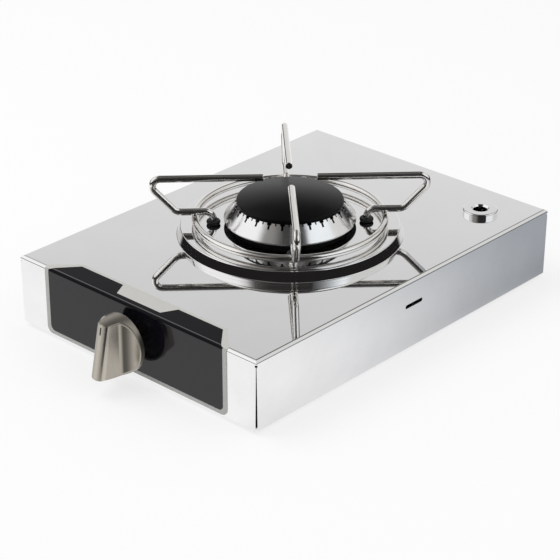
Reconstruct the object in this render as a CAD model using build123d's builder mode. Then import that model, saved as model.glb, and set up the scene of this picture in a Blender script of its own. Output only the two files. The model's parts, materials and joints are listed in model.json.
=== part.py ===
from build123d import *
import os
from math import cos, radians, sin

# Free-standing single-burner gas hob in folded stainless sheet, in millimetres.
# The origin is on the worktop under the burner axis, which is the plan centre of the body.
# X runs along the front, +Y to the rear and +Z up. The knob stands on the front wall.

os.makedirs("parts", exist_ok=True)

# Folded body
body_width = 218.0
body_depth = 300.0
body_height = 49.5
sheet = 1.0
bend_radius = 2.5
seam_top_width = 0.4
seam_bottom_width = 1.4
seam_relief_radius = 0.9
seam_cut_depth = 3.0
side_slot_length = 17.5
side_slot_width = 2.8
side_slot_height = 31.6
side_slot_offset = 2.2

# Stamped plateau under the burner
plateau_foot_radius = 77.9
plateau_top_radius = 75.4
plateau_height = 7.2
plateau_foot_fillet = 0.5
plateau_rim_fillet = 1.2
plateau_blend = 5.5

# Base, feet and their fixings
base_sheet = 1.0
base_recess = 1.0
base_gap = 0.4
vent_length = 34.0
vent_width = 4.0
vent_pitch = 14.0
vent_rows = 4
vent_spread = 60.0
foot_drop = 3.0
foot_radius = 9.0
foot_neck_radius = 3.0
foot_bulb_radius = 4.2
foot_bulb_height = 3.0
foot_bulb_taper = 20.0
foot_edge_chamfer = 0.75
foot_inset = 21.0
tab_sheet = 1.5
tab_reach = 13.0
tab_width = 16.0
tab_rise = 16.0
tab_reach_y = 90.0
screw_radius = 2.0
screw_hole_clearance = 0.2
thread_clearance = 0.05
base_screw_length = 7.0
pan_head_radius = 3.8
pan_head_height = 2.4
pan_head_round = 1.0

# Front label
label_thickness = 0.3
label_half_width = 84.0
label_low_gap = 0.8
label_corner_radius = 5.0
label_top_reach = 18.7
label_back_half_width = 66.8
label_hole_gap = 1.0

# Threaded bush on the top
bush_inset_x = 32.3
bush_inset_y = 36.0
bush_flange_radius = 12.3
bush_flange_height = 3.3
bush_edge_round = 1.0
bush_thread_radius = 5.1
bush_mouth_chamfer = 1.2
bush_shank_radius = 9.0
bush_shank_length = 8.5
bush_nut_flats = 24.0
bush_nut_height = 5.0
seat_clearance = 0.1

# Pan support in round wire
wire_radius = 2.5
weld_sink = 0.15
ring_radius = 65.2
ring_rise = 4.5
bar_rise = 34.1
bar_inner_radius = 18.3
bar_corner_radius = 100.5
knee_radius = 77.6
leg_radius = 52.6
tip_bend = 5.3
knee_bend = 8.0
leg_bend = 6.0
wire_end_round = 0.4
arm_names = ("right", "rear", "left", "front")
arm_turn = 45.0

# Silicone grommets for the four legs
grommet_wall = 1.2
grommet_flange = 1.1
grommet_rise = 3.4
grommet_drop = 3.0
grommet_floor = 1.5
grommet_tuck = 1.3
leg_clearance = 0.08

# Burner cup under the crown
throat_radius = 27.5
cup_wall = 2.5
cup_rim_radius = 40.0
cup_rim_wall = 2.0
cup_rim_height = 3.8
cup_floor = 2.0
cup_bottom_drop = 1.3
cup_boss_radius = 9.0
cup_boss_rise = 1.0
air_window_width = 22.0
air_window_drop = 6.0
air_window_height = 14.0
air_window_round = 3.5
port_radius = 7.0
port_length = 34.0
gas_way_radius = 2.5
burner_screw_radius = 33.0
burner_screw_count = 3
burner_screw_turn = 90.0
burner_screw_length = 7.0
countersunk_radius = 3.8
clamp_ring_thickness = 2.0
clamp_ring_margin = 4.0
throat_clearance = 0.5

# Injector
injector_flats = 8.0
injector_hex_height = 4.0
injector_tip_radius = 2.6
injector_tip_height = 3.0
injector_tip_taper = 8.0
injector_stem_radius = 3.0
injector_stem_length = 5.0
injector_jet_radius = 0.4

# Burner crown and cap
crown_radius = 45.5
crown_lip = 1.0
crown_top_radius = 37.5
crown_height = 12.0
crown_floor = 2.5
crown_chamber_radius = 31.0
crown_spigot_wall = 3.5
crown_clearance = 0.3
venturi_radius = 8.0
venturi_wall = 2.0
venturi_length = 14.0
flame_slot_count = 26
flame_slot_width = 1.5
flame_slot_depth = 3.6
slot_mouth_width = 3.2
slot_mouth_depth = 1.1
pilot_slot_width = 1.0
pilot_slot_depth = 1.3
cap_radius = 36.9
cap_rim_height = 2.2
cap_dome_rise = 3.2
cap_edge_round = 0.9
cap_skin = 2.0
cap_spigot_wall = 3.0
cap_spigot_depth = 2.5
cap_clearance = 0.4

# Control axis, tap and spindle
control_height = 27.3
spindle_radius = 4.0
running_clearance = 0.05
wall_hole_gap = 2.5
spindle_flat = 1.0
push_travel = 4.0
bracket_sheet = 1.5
bracket_gap = 10.0
bracket_width = 52.0
bracket_height = 26.0
bracket_flange = 12.0
tap_ear_pitch = 34.0
tap_ear_height = 20.0
tap_ear_thickness = 4.0
tap_ear_margin = 5.0
tap_neck_radius = 7.0
tap_neck_length = 7.0
tap_body_radius = 12.0
tap_port_offset = 16.0
tap_port_reach = 20.0
bore_end_gap = 2.0
valve_gap = 4.0
spindle_depth = 20.0
push_rod_radius = 2.0
push_rod_length = 18.0
tap_screw_length = 9.0
magnet_flats = 17.0
magnet_length = 14.0
magnet_tail_radius = 4.0
magnet_tail_length = 7.0

# Knob
knob_radius = 20.3
knob_gap = 9.0
knob_skirt = 4.0
knob_draft = 2.4
knob_nose_top = 18.0
knob_nose_bottom = 26.5
knob_nose_half = 4.6
knob_nose_crown = 1.6
knob_valley_half = 6.7
knob_valley_depth = 8.0
knob_valley_sag = 1.3
knob_valley_round = 4.0
knob_socket_depth = 12.0
knob_boss_radius = 7.5
knob_back_recess = 3.0
knob_rim_wall = 2.0
knob_edge_round = 0.6
clip_sheet = 0.5
clip_length = 2.6
clip_gap = 6.0
pointer_length = 5.2
pointer_width = 1.2
pointer_corner = 0.4
pointer_depth = 0.8
pointer_sink = 0.15
pointer_rise = 14.8

# Gas pipes and their nuts
pipe_radius = 4.0
pipe_wall = 1.0
pipe_bend = 20.0
port_seat = 3.0
pipe_nut_flats = 15.0
pipe_nut_length = 10.0
pipe_fit_clearance = 0.05
supply_lane = 70.0
inlet_lane = 60.0

# Rear gas inlet
inlet_hex_flats = 22.0
inlet_hex_length = 6.0
inlet_inner_length = 12.0
inlet_shank_radius = 8.0
inlet_shank_margin = 1.0
inlet_thread_radius = 6.58
inlet_thread_length = 13.0
inlet_bore_radius = 3.0
inlet_lock_flats = 22.0
inlet_lock_length = 5.0
inlet_thread_chamfer = 1.0

# Thermocouple
probe_angle = 120.0
probe_reach = 44.8
probe_radius = 2.25
probe_rise = 14.5
probe_drop = 16.0
probe_flange_radius = 3.8
probe_flange_height = 1.0
probe_notch_gap = 1.4
probe_tip_round = 1.1
probe_nut_flats = 9.0
probe_nut_height = 3.0
lead_radius = 1.0
lead_tail = 3.4
lead_lane = 44.0
lead_run = 22.0
couple_nut_flats = 10.0
couple_nut_length = 11.0
couple_nut_wall = 3.4

# Levels and places worked out from the sizes above
front_y = -body_depth / 2
rear_y = body_depth / 2
side_x = body_width / 2
wall_y = front_y + sheet
z_bottom = foot_drop
z_top = z_bottom + body_height
plateau_top = z_top + plateau_height
plateau_under = plateau_top - sheet
base_low = z_bottom + base_recess
base_top = base_low + base_sheet
control_z = z_bottom + control_height
ring_z = plateau_top + ring_rise
run_z = ring_z + 2 * wire_radius - weld_sink
bar_z = plateau_top + bar_rise
screw_hole_radius = screw_radius + screw_hole_clearance
thread_hole_radius = screw_radius + thread_clearance
wall_hole_radius = spindle_radius + wall_hole_gap
foot_x = side_x - foot_inset
foot_y = rear_y - foot_inset
bush_x = side_x - bush_inset_x
bush_y = rear_y - bush_inset_y
tab_screw_x = side_x - sheet - (tab_reach + tab_sheet) / 2
arm_angles = [arm_turn + index * 360 / len(arm_names) for index in range(len(arm_names))]


def facing_rear(y):
    """Plane across the control axis at depth y, looking to the rear."""
    return Plane(origin=(0, y, control_z), x_dir=(1, 0, 0), z_dir=(0, 1, 0))


def radial_plane(angle):
    """Upright plane through the burner axis, with local x outwards and local y up."""
    outward = (cos(radians(angle)), sin(radians(angle)), 0)
    across = (sin(radians(angle)), -cos(radians(angle)), 0)
    return Plane(origin=(0, 0, 0), x_dir=outward, z_dir=across)


# Grommet sizes follow the wire
leg_hole_radius = wire_radius + leg_clearance
grommet_neck_radius = leg_hole_radius + grommet_wall
grommet_flange_radius = grommet_neck_radius + grommet_flange
grommet_hole_radius = grommet_neck_radius + seat_clearance
leg_end_z = plateau_under - grommet_drop

# Folded top with four skirts, stamped plateau, seams and holes
with BuildPart() as hob_top:
    with BuildSketch(Plane.XY.offset(z_bottom)):
        Rectangle(body_width, body_depth)
    extrude(amount=body_height)
    fillet(hob_top.faces().sort_by(Axis.Z)[-1].edges(), radius=bend_radius)
    with BuildSketch(Plane.XZ):
        with BuildLine():
            swell = FilletPolyline(
                (plateau_foot_radius + plateau_blend, z_top),
                (plateau_foot_radius, z_top),
                (plateau_top_radius, plateau_top),
                (0, plateau_top),
                radius=(plateau_foot_fillet, plateau_rim_fillet),
            )
            Polyline(
                swell @ 1,
                (0, z_top - sheet),
                (plateau_foot_radius + plateau_blend, z_top - sheet),
                swell @ 0,
            )
        make_face()
    revolve(axis=Axis.Z)
    offset(amount=-sheet, openings=hob_top.faces().sort_by(Axis.Z)[0])
    for side_sign in (-1, 1):
        for end_sign in (-1, 1):
            corner = (side_sign * side_x, end_sign * rear_y, 0)
            seam_plane = Plane(
                origin=corner,
                x_dir=(side_sign, -end_sign, 0),
                z_dir=(side_sign, end_sign, 0),
            )
            seam_dir = seam_plane.y_dir.Z
            seam_low = seam_dir * (z_bottom - sheet)
            seam_high = seam_dir * (z_top - bend_radius - seam_relief_radius)
            with BuildSketch(seam_plane):
                with BuildLine():
                    Polyline(
                        (-seam_bottom_width / 2, seam_low),
                        (seam_bottom_width / 2, seam_low),
                        (seam_top_width / 2, seam_high),
                        (-seam_top_width / 2, seam_high),
                        close=True,
                    )
                make_face()
                with Locations((0, seam_high)):
                    Circle(seam_relief_radius)
            extrude(amount=seam_cut_depth, both=True, mode=Mode.SUBTRACT)
    for side_sign in (-1, 1):
        slot_plane = Plane(
            origin=(side_sign * side_x, side_slot_offset, z_bottom + side_slot_height),
            x_dir=(0, 1, 0),
            z_dir=(side_sign, 0, 0),
        )
        with BuildSketch(slot_plane):
            SlotOverall(side_slot_length, side_slot_width)
        extrude(amount=2 * sheet, both=True, mode=Mode.SUBTRACT)
    with Locations((0, 0, plateau_top)):
        Hole(radius=throat_radius + throat_clearance, depth=2 * sheet)
        with PolarLocations(burner_screw_radius, burner_screw_count, start_angle=burner_screw_turn):
            Hole(radius=screw_hole_radius, depth=2 * sheet)
        with PolarLocations(leg_radius, len(arm_names), start_angle=arm_turn):
            Hole(radius=grommet_hole_radius, depth=2 * sheet)
        with PolarLocations(probe_reach, 1, start_angle=probe_angle):
            Hole(radius=probe_radius + screw_hole_clearance, depth=2 * sheet)
    with Locations((bush_x, bush_y, z_top)):
        Hole(radius=bush_shank_radius + seat_clearance, depth=2 * sheet)
    with Locations(Plane(origin=(0, front_y, control_z), z_dir=(0, -1, 0))):
        Hole(radius=wall_hole_radius, depth=2 * sheet)
    with Locations(Plane(origin=(-inlet_lane, rear_y, control_z), z_dir=(0, 1, 0))):
        Hole(radius=inlet_shank_radius + seat_clearance, depth=2 * sheet)
hob_top.part.label = "hob_top"
export_step(hob_top.part, "parts/hob_top.step")

# Film label that wraps over the front bend
with BuildPart() as front_label:
    with BuildSketch(Plane.YZ):
        with BuildLine():
            back_face = FilletPolyline(
                (front_y, z_bottom + label_low_gap),
                (front_y, z_top),
                (front_y + label_top_reach, z_top),
                radius=bend_radius,
            )
            show_face = FilletPolyline(
                (front_y - label_thickness, z_bottom + label_low_gap),
                (front_y - label_thickness, z_top + label_thickness),
                (front_y + label_top_reach, z_top + label_thickness),
                radius=bend_radius + label_thickness,
            )
            Line(back_face @ 0, show_face @ 0)
            Line(back_face @ 1, show_face @ 1)
        make_face()
    extrude(amount=label_half_width, both=True)
    with BuildSketch(Plane.XY.offset(z_top - bend_radius)):
        for side_sign in (-1, 1):
            with BuildLine():
                Polyline(
                    (side_sign * label_half_width, front_y + bend_radius),
                    (side_sign * label_back_half_width, front_y + label_top_reach),
                    (side_sign * label_half_width, front_y + label_top_reach),
                    close=True,
                )
            make_face()
    extrude(amount=2 * bend_radius, mode=Mode.SUBTRACT)
    fillet(front_label.edges().filter_by(Axis.Y).group_by(Axis.Z)[0], radius=label_corner_radius)
    with Locations(Plane(origin=(0, front_y - label_thickness, control_z), z_dir=(0, -1, 0))):
        Hole(radius=wall_hole_radius + label_hole_gap, depth=2 * label_thickness)
front_label.part.label = "front_label"
export_step(front_label.part, "parts/front_label.step")

# Base plate with air slots under the burner
with BuildPart() as base_plate:
    with BuildSketch(Plane.XY.offset(base_low)):
        Rectangle(body_width - 2 * (sheet + base_gap), body_depth - 2 * (sheet + base_gap))
        with GridLocations(vent_spread, vent_pitch, 2, vent_rows):
            SlotOverall(vent_length, vent_width, mode=Mode.SUBTRACT)
        with GridLocations(2 * foot_x, 2 * foot_y, 2, 2):
            Circle(foot_neck_radius + seat_clearance, mode=Mode.SUBTRACT)
        with GridLocations(2 * tab_screw_x, 2 * tab_reach_y, 2, 2):
            Circle(screw_hole_radius, mode=Mode.SUBTRACT)
    extrude(amount=base_sheet)
base_plate.part.label = "base_plate"
export_step(base_plate.part, "parts/base_plate.step")

# Angle tabs welded inside the side walls, which take the base screws
with BuildPart() as fixing_tabs:
    for side_sign in (-1, 1):
        for tab_y in (-tab_reach_y, tab_reach_y):
            wall_x = side_sign * (side_x - sheet)
            reach_x = wall_x - side_sign * tab_reach
            inner_x = wall_x - side_sign * tab_sheet
            with BuildSketch(Plane.XZ.offset(-tab_y)):
                with BuildLine():
                    Polyline(
                        (wall_x, base_top),
                        (reach_x, base_top),
                        (reach_x, base_top + tab_sheet),
                        (inner_x, base_top + tab_sheet),
                        (inner_x, base_top + tab_rise),
                        (wall_x, base_top + tab_rise),
                        close=True,
                    )
                make_face()
            extrude(amount=tab_width / 2, both=True)
    with GridLocations(2 * tab_screw_x, 2 * tab_reach_y, 2, 2):
        with Locations((0, 0, base_top + tab_sheet)):
            Hole(radius=thread_hole_radius, depth=2 * tab_sheet)
fixing_tabs.part.label = "fixing_tabs"
export_step(fixing_tabs.part, "parts/fixing_tabs.step")

# Pan-head screws that hold the base to the tabs
with BuildPart() as base_screws:
    with BuildSketch(Plane.XY.offset(base_low)):
        with GridLocations(2 * tab_screw_x, 2 * tab_reach_y, 2, 2):
            Circle(screw_radius)
    extrude(amount=base_screw_length)
    with BuildSketch(Plane.XY.offset(base_low)):
        with GridLocations(2 * tab_screw_x, 2 * tab_reach_y, 2, 2):
            Circle(pan_head_radius)
    extrude(amount=-pan_head_height)
    fillet(base_screws.edges().group_by(Axis.Z)[0], radius=pan_head_round)
base_screws.part.label = "base_screws"
export_step(base_screws.part, "parts/base_screws.step")

# Rubber feet snapped into the base plate
with BuildPart() as rubber_feet:
    with BuildSketch(Plane.XY):
        with GridLocations(2 * foot_x, 2 * foot_y, 2, 2):
            Circle(foot_radius)
    extrude(amount=base_low)
    with BuildSketch(Plane.XY.offset(base_low)):
        with GridLocations(2 * foot_x, 2 * foot_y, 2, 2):
            Circle(foot_neck_radius)
    extrude(amount=base_sheet)
    with BuildSketch(Plane.XY.offset(base_top)):
        with GridLocations(2 * foot_x, 2 * foot_y, 2, 2):
            Circle(foot_bulb_radius)
    extrude(amount=foot_bulb_height, taper=foot_bulb_taper)
    chamfer(rubber_feet.edges().group_by(Axis.Z)[0], length=foot_edge_chamfer)
rubber_feet.part.label = "rubber_feet"
export_step(rubber_feet.part, "parts/rubber_feet.step")

# Flanged threaded bush for a pot clamp
with BuildPart() as pot_clamp_bush:
    with BuildSketch(Plane.XY.offset(z_top)):
        with Locations((bush_x, bush_y)):
            Circle(bush_flange_radius)
    extrude(amount=bush_flange_height)
    fillet(pot_clamp_bush.edges().group_by(Axis.Z)[-1], radius=bush_edge_round)
    with BuildSketch(Plane.XY.offset(z_top)):
        with Locations((bush_x, bush_y)):
            Circle(bush_shank_radius)
    extrude(amount=-bush_shank_length)
    with Locations((bush_x, bush_y, z_top + bush_flange_height)):
        Hole(radius=bush_thread_radius)
    mouth_edge = pot_clamp_bush.edges().group_by(Axis.Z)[-1].sort_by(SortBy.RADIUS)[0]
    chamfer(mouth_edge, length=bush_mouth_chamfer)
pot_clamp_bush.part.label = "pot_clamp_bush"
export_step(pot_clamp_bush.part, "parts/pot_clamp_bush.step")

# Thin nut that pulls the bush down on the top
with BuildPart() as bush_nut:
    with BuildSketch(Plane.XY.offset(z_top - sheet)):
        with Locations((bush_x, bush_y)):
            RegularPolygon(radius=bush_nut_flats / 2, side_count=6, major_radius=False)
            Circle(bush_shank_radius + thread_clearance, mode=Mode.SUBTRACT)
    extrude(amount=-bush_nut_height)
bush_nut.part.label = "bush_nut"
export_step(bush_nut.part, "parts/bush_nut.step")

# Wire ring of the pan support
with BuildPart() as pan_support_ring:
    with BuildSketch(Plane.XZ):
        with Locations((ring_radius, ring_z)):
            Circle(wire_radius)
    revolve(axis=Axis.Z)
pan_support_ring.part.label = "pan_support_ring"
export_step(pan_support_ring.part, "parts/pan_support_ring.step")

# Four bent wire arms, each with a bar on top and a leg in its grommet
for arm_name, arm_angle in zip(arm_names, arm_angles):
    arm_plane = radial_plane(arm_angle)
    arm_outward = Axis(arm_plane.origin, arm_plane.x_dir)
    with BuildPart() as support_arm:
        with BuildLine(arm_plane) as arm_path:
            FilletPolyline(
                (bar_inner_radius, bar_z),
                (bar_corner_radius, bar_z),
                (knee_radius, run_z),
                (leg_radius, run_z),
                (leg_radius, leg_end_z),
                radius=(tip_bend, knee_bend, leg_bend),
            )
        with BuildSketch(Plane(origin=arm_path.line @ 0, z_dir=arm_path.line % 0)):
            Circle(wire_radius)
        sweep()
        fillet(support_arm.faces().sort_by(arm_outward)[0].edges(), radius=wire_end_round)
    support_arm.part.label = f"pan_support_arm_{arm_name}"
    export_step(support_arm.part, f"parts/pan_support_arm_{arm_name}.step")

# Blind silicone grommets that the legs stand in, each with a round bead above the top
bead_top = plateau_top + grommet_rise
bead_edge = leg_radius + grommet_flange_radius - grommet_tuck
with BuildPart() as support_grommets:
    for arm_angle in arm_angles:
        grommet_plane = radial_plane(arm_angle)
        with BuildSketch(grommet_plane):
            with BuildLine():
                sleeve = Polyline(
                    (leg_radius + leg_hole_radius, bead_top),
                    (leg_radius + leg_hole_radius, leg_end_z),
                    (leg_radius, leg_end_z),
                    (leg_radius, leg_end_z - grommet_floor),
                    (leg_radius + grommet_neck_radius, leg_end_z - grommet_floor),
                    (leg_radius + grommet_flange_radius, plateau_under),
                    (leg_radius + grommet_neck_radius, plateau_under),
                    (leg_radius + grommet_neck_radius, plateau_top),
                    (bead_edge, plateau_top),
                )
                bead_side = (leg_radius + grommet_flange_radius, plateau_top + grommet_rise / 2)
                bead = ThreePointArc(sleeve @ 1, bead_side, (bead_edge, bead_top))
                Line(bead @ 1, sleeve @ 0)
            make_face()
        leg_axis = Axis(grommet_plane.from_local_coords((leg_radius, 0, 0)), (0, 0, 1))
        revolve(axis=leg_axis)
support_grommets.part.label = "support_grommets"
export_step(support_grommets.part, "parts/support_grommets.step")

# Cast burner cup: rim under the crown, bowl below the top and the gas port
cup_rim_top = plateau_top + cup_rim_height
cup_floor_top = plateau_top + cup_floor
cup_bottom = control_z - port_radius - cup_bottom_drop
cup_boss_top = control_z + port_radius + cup_boss_rise
air_window_z = plateau_under - air_window_drop - air_window_height / 2
with BuildPart() as burner_cup:
    with BuildSketch(Plane.XZ):
        with BuildLine():
            Polyline(
                (0, cup_bottom),
                (throat_radius, cup_bottom),
                (throat_radius, plateau_top),
                (cup_rim_radius, plateau_top),
                (cup_rim_radius, cup_rim_top),
                (cup_rim_radius - cup_rim_wall, cup_rim_top),
                (cup_rim_radius - cup_rim_wall, cup_floor_top),
                (throat_radius - cup_wall, cup_floor_top),
                (throat_radius - cup_wall, cup_bottom + cup_wall),
                (cup_boss_radius, cup_bottom + cup_wall),
                (cup_boss_radius, cup_boss_top),
                (0, cup_boss_top),
                close=True,
            )
        make_face()
    revolve(axis=Axis.Z)
    with BuildSketch(Plane(origin=(0, 0, control_z), z_dir=(1, 0, 0))):
        Circle(port_radius)
    extrude(amount=port_length)
    for window_angle in arm_angles:
        upright = radial_plane(window_angle)
        window_plane = Plane(origin=(0, 0, air_window_z), x_dir=upright.z_dir, z_dir=upright.x_dir)
        with BuildSketch(window_plane):
            RectangleRounded(air_window_width, air_window_height, air_window_round)
        extrude(amount=2 * throat_radius, mode=Mode.SUBTRACT)
    with Locations(Plane(origin=(port_length, 0, control_z), z_dir=(1, 0, 0))):
        CounterBoreHole(
            radius=gas_way_radius,
            counter_bore_radius=pipe_radius + pipe_fit_clearance,
            counter_bore_depth=port_seat,
            depth=port_length,
        )
    with Locations((0, 0, cup_boss_top)):
        Hole(radius=injector_stem_radius + thread_clearance, depth=cup_boss_top - control_z)
    with Locations((0, 0, cup_floor_top)):
        with PolarLocations(burner_screw_radius, burner_screw_count, start_angle=burner_screw_turn):
            CounterSinkHole(
                radius=screw_hole_radius,
                counter_sink_radius=countersunk_radius,
                depth=2 * cup_floor,
            )
burner_cup.part.label = "burner_cup"
export_step(burner_cup.part, "parts/burner_cup.step")

# Steel ring under the plateau that the burner screws pull against
with BuildPart() as burner_clamp_ring:
    with BuildSketch(Plane.XY.offset(plateau_under)):
        Circle(burner_screw_radius + clamp_ring_margin)
        Circle(throat_radius + throat_clearance, mode=Mode.SUBTRACT)
        with PolarLocations(burner_screw_radius, burner_screw_count, start_angle=burner_screw_turn):
            Circle(thread_hole_radius, mode=Mode.SUBTRACT)
    extrude(amount=-clamp_ring_thickness)
burner_clamp_ring.part.label = "burner_clamp_ring"
export_step(burner_clamp_ring.part, "parts/burner_clamp_ring.step")

# Countersunk screws in the floor of the cup
head_low = cup_floor_top - (countersunk_radius - screw_radius)
head_top = cup_floor_top - screw_hole_clearance
head_radius = countersunk_radius - screw_hole_clearance
screw_low = head_low - burner_screw_length
with BuildPart() as burner_screws:
    for screw_index in range(burner_screw_count):
        screw_plane = radial_plane(burner_screw_turn + screw_index * 360 / burner_screw_count)
        with BuildSketch(screw_plane):
            with BuildLine():
                Polyline(
                    (burner_screw_radius, screw_low),
                    (burner_screw_radius + screw_radius, screw_low),
                    (burner_screw_radius + screw_radius, head_low),
                    (burner_screw_radius + head_radius, head_top),
                    (burner_screw_radius, head_top),
                    close=True,
                )
            make_face()
        screw_axis = Axis(screw_plane.from_local_coords((burner_screw_radius, 0, 0)), (0, 0, 1))
        revolve(axis=screw_axis)
burner_screws.part.label = "burner_screws"
export_step(burner_screws.part, "parts/burner_screws.step")

# Brass injector standing in the boss of the cup
with BuildPart() as injector:
    with BuildSketch(Plane.XY.offset(cup_boss_top)):
        RegularPolygon(radius=injector_flats / 2, side_count=6, major_radius=False)
    extrude(amount=injector_hex_height)
    with BuildSketch(Plane.XY.offset(cup_boss_top + injector_hex_height)):
        Circle(injector_tip_radius)
    extrude(amount=injector_tip_height, taper=injector_tip_taper)
    with BuildSketch(Plane.XY.offset(cup_boss_top)):
        Circle(injector_stem_radius)
    extrude(amount=-injector_stem_length)
    with Locations((0, 0, cup_boss_top + injector_hex_height + injector_tip_height)):
        Hole(radius=injector_jet_radius)
injector.part.label = "injector"
export_step(injector.part, "parts/injector.step")

# Slotted flame spreader that sits on the rim of the cup
crown_base = cup_rim_top
crown_top = crown_base + crown_height
crown_spigot_radius = cup_rim_radius - cup_rim_wall - crown_clearance
crown_spigot_depth = cup_rim_height - cup_floor - crown_clearance
slot_circle = (crown_radius + crown_chamber_radius) / 2
slot_run = crown_radius - crown_chamber_radius + venturi_wall
half_pitch = 180 / flame_slot_count
with BuildPart() as burner_crown:
    with BuildSketch(Plane.XZ):
        with BuildLine():
            Polyline(
                (venturi_radius, crown_base - venturi_length),
                (venturi_radius + venturi_wall, crown_base - venturi_length),
                (venturi_radius + venturi_wall, crown_base),
                (crown_spigot_radius - crown_spigot_wall, crown_base),
                (crown_spigot_radius - crown_spigot_wall, crown_base - crown_spigot_depth),
                (crown_spigot_radius, crown_base - crown_spigot_depth),
                (crown_spigot_radius, crown_base),
                (crown_radius, crown_base),
                (crown_radius, crown_base + crown_lip),
                (crown_top_radius, crown_top),
                (crown_chamber_radius, crown_top),
                (crown_chamber_radius, crown_base + crown_floor),
                (venturi_radius, crown_base + crown_floor),
                close=True,
            )
        make_face()
    revolve(axis=Axis.Z)
    with BuildSketch(Plane.XY.offset(crown_top)):
        with PolarLocations(slot_circle, flame_slot_count):
            Rectangle(slot_run, flame_slot_width)
    extrude(amount=-flame_slot_depth, mode=Mode.SUBTRACT)
    with BuildSketch(Plane.XY.offset(crown_top)):
        with PolarLocations(slot_circle, flame_slot_count):
            Rectangle(slot_run, slot_mouth_width)
    extrude(amount=-slot_mouth_depth, mode=Mode.SUBTRACT)
    with BuildSketch(Plane.XY.offset(crown_top)):
        with PolarLocations(slot_circle, flame_slot_count, start_angle=half_pitch):
            Rectangle(slot_run, pilot_slot_width)
    extrude(amount=-pilot_slot_depth, mode=Mode.SUBTRACT)
    with BuildSketch(Plane.XY.offset(crown_base)):
        with PolarLocations(probe_reach, 1, start_angle=probe_angle):
            Circle(probe_radius + probe_notch_gap)
    extrude(amount=crown_height, mode=Mode.SUBTRACT)
burner_crown.part.label = "burner_crown"
export_step(burner_crown.part, "parts/burner_crown.step")

# Enamelled cap with a shallow dome
cap_spigot_radius = crown_chamber_radius - cap_clearance
cap_rim_top = crown_top + cap_rim_height
with BuildPart() as burner_cap:
    with BuildSketch(Plane.XZ):
        with BuildLine():
            dome = TangentArc(
                (0, cap_rim_top + cap_dome_rise),
                (cap_radius, cap_rim_top),
                tangent=(1, 0),
            )
            Polyline(
                dome @ 0,
                (0, crown_top + cap_skin),
                (cap_spigot_radius - cap_spigot_wall, crown_top + cap_skin),
                (cap_spigot_radius - cap_spigot_wall, crown_top - cap_spigot_depth),
                (cap_spigot_radius, crown_top - cap_spigot_depth),
                (cap_spigot_radius, crown_top),
                (cap_radius, crown_top),
                dome @ 1,
            )
        make_face()
    revolve(axis=Axis.Z)
    rim_edges = burner_cap.edges().filter_by(GeomType.CIRCLE).sort_by(SortBy.RADIUS)[-2:]
    fillet(rim_edges, radius=cap_edge_round)
burner_cap.part.label = "burner_cap"
export_step(burner_cap.part, "parts/burner_cap.step")

# Hat-shaped bracket welded behind the front wall, which carries the tap
bracket_y = wall_y + bracket_gap
with BuildPart() as tap_bracket:
    with BuildSketch(Plane.XY.offset(control_z - bracket_height / 2)):
        with BuildLine():
            half_web = bracket_width / 2
            Polyline(
                (-half_web - bracket_flange, wall_y),
                (-half_web, wall_y),
                (-half_web, bracket_y - bracket_sheet),
                (half_web, bracket_y - bracket_sheet),
                (half_web, wall_y),
                (half_web + bracket_flange, wall_y),
                (half_web + bracket_flange, wall_y + bracket_sheet),
                (half_web + bracket_sheet, wall_y + bracket_sheet),
                (half_web + bracket_sheet, bracket_y),
                (-half_web - bracket_sheet, bracket_y),
                (-half_web - bracket_sheet, wall_y + bracket_sheet),
                (-half_web - bracket_flange, wall_y + bracket_sheet),
                close=True,
            )
        make_face()
    extrude(amount=bracket_height)
    with BuildSketch(facing_rear(wall_y)):
        Circle(tap_neck_radius + seat_clearance)
        with GridLocations(tap_ear_pitch, 0, 2, 1):
            Circle(thread_hole_radius)
    extrude(amount=2 * bracket_gap, mode=Mode.SUBTRACT)
tap_bracket.part.label = "tap_bracket"
export_step(tap_bracket.part, "parts/tap_bracket.step")

# Cast tap body with two ears, two side ports and a bore for the spindle
ear_back_y = bracket_y + tap_ear_thickness
tap_port_y = ear_back_y + tap_port_offset
neck_y = bracket_y - tap_neck_length
spindle_end_y = wall_y + spindle_depth
bore_end_y = spindle_end_y + push_travel + bore_end_gap
tap_end_y = spindle_end_y + push_rod_length + push_travel + valve_gap
with BuildPart() as gas_tap_body:
    with BuildSketch(facing_rear(bracket_y)):
        SlotOverall(tap_ear_pitch + 2 * tap_ear_margin, tap_ear_height)
    extrude(amount=tap_ear_thickness)
    with BuildSketch(facing_rear(bracket_y)):
        Circle(tap_neck_radius)
    extrude(amount=-tap_neck_length)
    with BuildSketch(facing_rear(ear_back_y)):
        Circle(tap_body_radius)
    extrude(amount=tap_end_y - ear_back_y)
    with BuildSketch(Plane(origin=(0, tap_port_y, control_z), z_dir=(1, 0, 0))):
        Circle(port_radius)
    extrude(amount=tap_port_reach, both=True)
    with BuildSketch(facing_rear(neck_y)):
        Circle(spindle_radius + running_clearance)
    extrude(amount=bore_end_y - neck_y, mode=Mode.SUBTRACT)
    with BuildSketch(facing_rear(bore_end_y)):
        Circle(push_rod_radius + running_clearance)
    extrude(amount=tap_end_y - bore_end_y, mode=Mode.SUBTRACT)
    with BuildSketch(facing_rear(bracket_y)):
        with GridLocations(tap_ear_pitch, 0, 2, 1):
            Circle(screw_hole_radius)
    extrude(amount=tap_ear_thickness, mode=Mode.SUBTRACT)
    for port_sign in (-1, 1):
        port_mouth = (port_sign * tap_port_reach, tap_port_y, control_z)
        with Locations(Plane(origin=port_mouth, z_dir=(port_sign, 0, 0))):
            CounterBoreHole(
                radius=gas_way_radius,
                counter_bore_radius=pipe_radius + pipe_fit_clearance,
                counter_bore_depth=port_seat,
                depth=tap_port_reach,
            )
gas_tap_body.part.label = "gas_tap_body"
export_step(gas_tap_body.part, "parts/gas_tap_body.step")

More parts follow.
